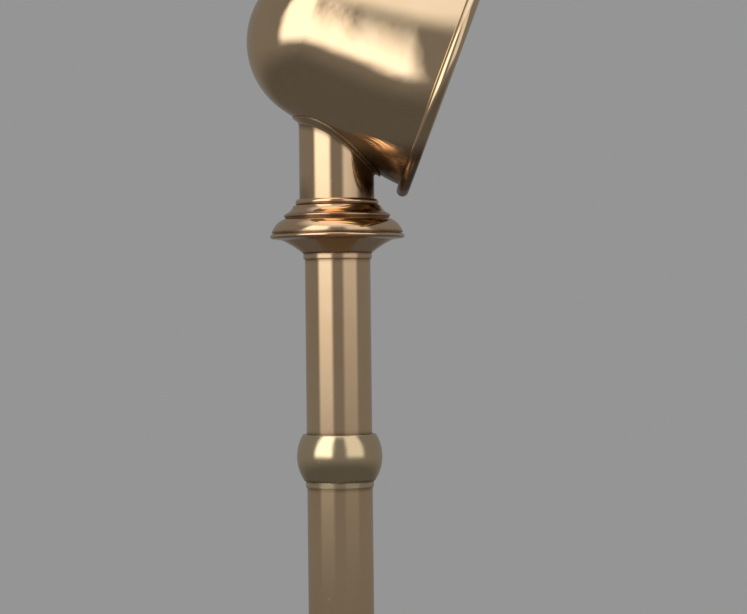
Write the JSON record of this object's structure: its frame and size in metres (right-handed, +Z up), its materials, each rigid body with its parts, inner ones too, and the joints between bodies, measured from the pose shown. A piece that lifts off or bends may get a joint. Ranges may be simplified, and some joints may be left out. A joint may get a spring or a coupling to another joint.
{
  "type": "cowl vent",
  "caption": "Polished brass cowl ventilator: domed cowl with rolled mouth, swivelling on a turned collar, standpipe with ball knop and drilled deck flange.",
  "frame": {"origin": "centre of the duct at the deck surface, on the standpipe's axis", "axes": "+Z up along the standpipe, +X the way the cowl's mouth looks at rest, +Y to the back where the clamping screw is"},
  "size_m": [0.1638, 0.1618, 0.5015],
  "materials": {
    "cowl_brass": "mirror polished, lightly patinated",
    "wire_brass": "drawn",
    "tube_brass": "polished drawn tube",
    "saddle_brass": "polished, brazed",
    "spigot_bronze": "turned",
    "screw_brass": "turned",
    "gauze_bronze": "dull woven",
    "spring_bronze": "satin",
    "collar_brass": "polished turned",
    "seal_rubber": "matt",
    "felt": "felted",
    "washer_bronze": "turned",
    "ring_brass": "polished turned",
    "ball_brass": "polished cast",
    "flange_brass": "polished cast",
    "gasket_rubber": "matt",
    "thumb_brass": "knurled, polished"
  },
  "bodies": {
    "stand": {"deck_gasket": "gasket_rubber", "deck_flange": "flange_brass", "pipe_socket": "flange_brass", "socket_set_screws": "screw_brass", "lower_pipe": "tube_brass", "ball_ring": "ring_brass", "ball_knop": "ball_brass", "ball_set_screws": "screw_brass", "upper_pipe": "tube_brass", "collar_lock_ring": "ring_brass", "collar_cup": "collar_brass", "collar_cap": "collar_brass", "weather_seal": "seal_rubber", "friction_washer": "felt", "thrust_washer": "washer_bronze", "screw_bush": "ring_brass"},
    "cowl_head": {"cowl_shell": "cowl_brass", "edge_wire": "wire_brass", "neck_tube": "tube_brass", "neck_saddle": "saddle_brass", "swivel_spigot": "spigot_bronze", "spigot_screws": "screw_brass", "screen_gauze": "gauze_bronze", "screen_ring": "spring_bronze"},
    "lock_pad": {"lock_pad": "screw_brass"},
    "lock_screw": {"lock_screw": "thumb_brass"}
  },
  "joints": [
    {"name": "head_swivel", "type": "hinge", "parent": "stand", "child": "cowl_head", "pos_m": [0, 0, 0.318], "axis": [0, 0, 1], "continuous": true},
    {"name": "lock_screw_turn", "type": "hinge", "parent": "lock_pad", "child": "lock_screw", "pos_m": [0, 0.044, 0.3267], "axis": [0, 1, 0], "range_deg": [0, 720]},
    {"name": "lock_pad_slide", "type": "slide", "parent": "stand", "child": "lock_pad", "axis": [0, 1, 0], "range_m": [0, 0.0014]}
  ],
  "couplings": [
    {"joint": "lock_screw_turn", "follows": "lock_pad_slide", "rad_per_m": 8976}
  ]
}
